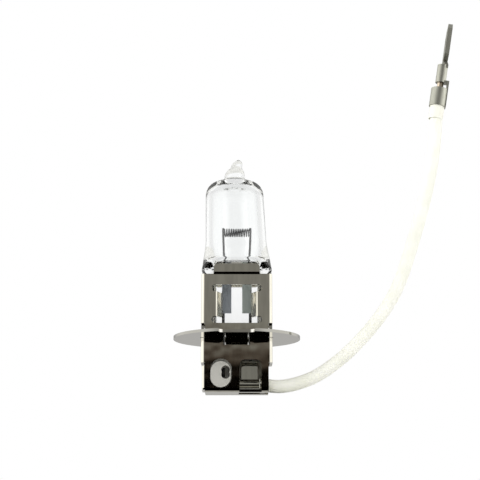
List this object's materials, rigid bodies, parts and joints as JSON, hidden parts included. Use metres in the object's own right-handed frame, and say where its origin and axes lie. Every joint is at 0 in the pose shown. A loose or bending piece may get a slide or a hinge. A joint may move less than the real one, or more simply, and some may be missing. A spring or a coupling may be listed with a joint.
{
  "type": "headlight bulb",
  "caption": "Halogen headlight bulb with a transverse filament in a clear quartz tube, a stamped metal holder, a round locating flange and a braided lead that ends in a flat blade.",
  "frame": {"origin": "centre of the flange's bulb side, the lamp's reference plane", "axes": "+Z along the lamp towards the glass tip, -Y is the front with the window, the lead leaves towards +X"},
  "size_m": [0.0507, 0.0216, 0.0671],
  "materials": {
    "fused_quartz": "clear, fire polished",
    "tungsten": "drawn wire, dark grey",
    "molybdenum_wire": "drawn wire",
    "molybdenum_foil": "rolled foil, blue grey",
    "nickel_plated_steel": "bright nickel plate",
    "weld_metal": "heat-tinted spot welds",
    "steatite": "fired, unglazed",
    "tinned_brass": "tin plated",
    "mica_sheet": "pressed mica",
    "copper_strands": "tinned strands",
    "silicone_rubber": "matt",
    "glass_braid": "woven glass fibre, varnished",
    "cream_sleeving": "shrunk on"
  },
  "bodies": {
    "root": {"quartz_envelope": "fused_quartz", "filament_coil": "tungsten", "left_support_wire": "molybdenum_wire", "right_support_wire": "molybdenum_wire", "left_seal_foil": "molybdenum_foil", "right_seal_foil": "molybdenum_foil", "left_outer_lead": "molybdenum_wire", "right_outer_lead": "molybdenum_wire", "front_holder_plate": "nickel_plated_steel", "back_holder_plate": "nickel_plated_steel", "flange_disc": "nickel_plated_steel", "spot_welds": "weld_metal", "ceramic_insulator": "steatite", "earth_strap": "nickel_plated_steel", "crimp_terminal": "tinned_brass", "insulating_liner": "mica_sheet", "cable_grip": "nickel_plated_steel", "lead_conductor": "copper_strands", "lead_insulation": "silicone_rubber", "lead_sleeve": "glass_braid", "end_sleeve": "cream_sleeving", "blade_terminal": "tinned_brass"}
  },
  "joints": []
}
